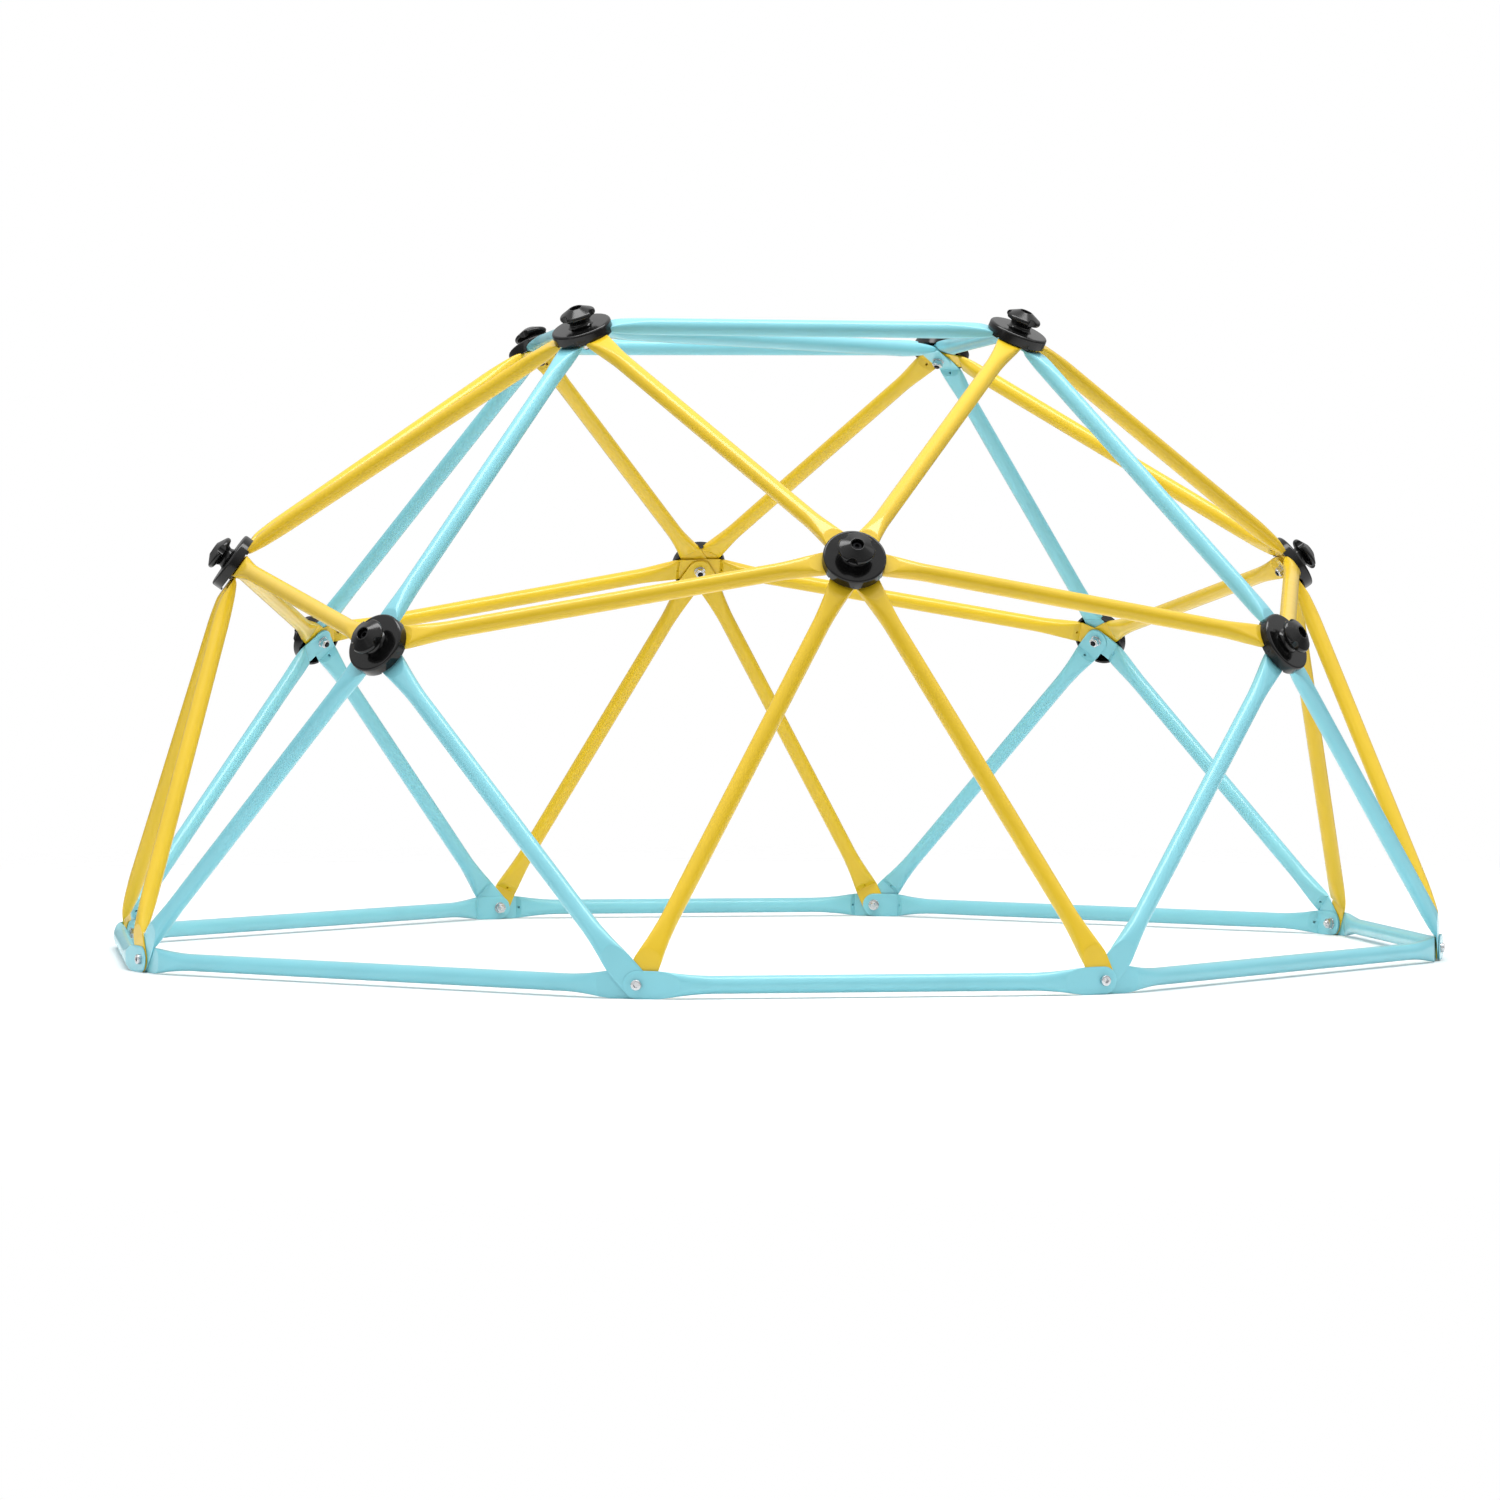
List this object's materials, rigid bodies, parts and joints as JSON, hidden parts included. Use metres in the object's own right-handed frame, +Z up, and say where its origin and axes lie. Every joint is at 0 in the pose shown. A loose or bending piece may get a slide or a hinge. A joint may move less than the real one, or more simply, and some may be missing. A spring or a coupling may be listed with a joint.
{
  "type": "dome climber",
  "caption": "Play dome of flattened-end steel tubes bolted into triangles, with a moulded cap and a three-lobed climbing grip on each joint above the ground.",
  "frame": {"origin": "on the ground, under the middle of the dome", "axes": "+Z up; -Y is the front, between two foot joints; the dome repeats every half turn about Z"},
  "size_m": [1.762, 1.762, 0.8625],
  "materials": {
    "cyan_powder_coat": "gloss powder coat on steel tube",
    "yellow_powder_coat": "gloss powder coat on steel tube",
    "cap_plastic": "gloss black, injection moulded",
    "grip_plastic": "gloss black, injection moulded",
    "zinc_plate": "bright zinc plate",
    "black_oxide": "black oxide on steel"
  },
  "bodies": {
    "root": {"crown_bar_1": "cyan_powder_coat", "crown_bar_2": "cyan_powder_coat", "crown_bar_3": "cyan_powder_coat", "crown_bar_4": "cyan_powder_coat", "crown_brace_1": "yellow_powder_coat", "crown_brace_2": "yellow_powder_coat", "crown_brace_3": "yellow_powder_coat", "crown_brace_4": "yellow_powder_coat", "crown_brace_5": "yellow_powder_coat", "crown_brace_6": "yellow_powder_coat", "crown_brace_7": "yellow_powder_coat", "crown_brace_8": "yellow_powder_coat", "corner_rafter_1": "cyan_powder_coat", "corner_rafter_2": "cyan_powder_coat", "corner_rafter_3": "cyan_powder_coat", "corner_rafter_4": "cyan_powder_coat", "ring_bar_1": "yellow_powder_coat", "ring_bar_2": "yellow_powder_coat", "ring_bar_3": "yellow_powder_coat", "ring_bar_4": "yellow_powder_coat", "ring_bar_5": "yellow_powder_coat", "ring_bar_6": "yellow_powder_coat", "ring_bar_7": "yellow_powder_coat", "ring_bar_8": "yellow_powder_coat", "peak_leg_1": "yellow_powder_coat", "peak_leg_2": "yellow_powder_coat", "peak_leg_3": "yellow_powder_coat", "peak_leg_4": "yellow_powder_coat", "peak_leg_5": "yellow_powder_coat", "peak_leg_6": "yellow_powder_coat", "peak_leg_7": "yellow_powder_coat", "peak_leg_8": "yellow_powder_coat", "corner_leg_1": "cyan_powder_coat", "corner_leg_2": "cyan_powder_coat", "corner_leg_3": "cyan_powder_coat", "corner_leg_4": "cyan_powder_coat", "corner_leg_5": "cyan_powder_coat", "corner_leg_6": "cyan_powder_coat", "corner_leg_7": "cyan_powder_coat", "corner_leg_8": "cyan_powder_coat", "short_base_bar_1": "cyan_powder_coat", "short_base_bar_2": "cyan_powder_coat", "short_base_bar_3": "cyan_powder_coat", "short_base_bar_4": "cyan_powder_coat", "long_base_bar_1": "cyan_powder_coat", "long_base_bar_2": "cyan_powder_coat", "long_base_bar_3": "cyan_powder_coat", "long_base_bar_4": "cyan_powder_coat", "crown_caps": "cap_plastic", "crown_grips": "grip_plastic", "peak_caps": "cap_plastic", "peak_grips": "grip_plastic", "corner_caps": "cap_plastic", "corner_grips": "grip_plastic", "crown_diagonal": "cyan_powder_coat", "hub_bolts": "black_oxide", "foot_bolts": "zinc_plate", "washers": "zinc_plate", "nuts": "zinc_plate"}
  },
  "joints": []
}
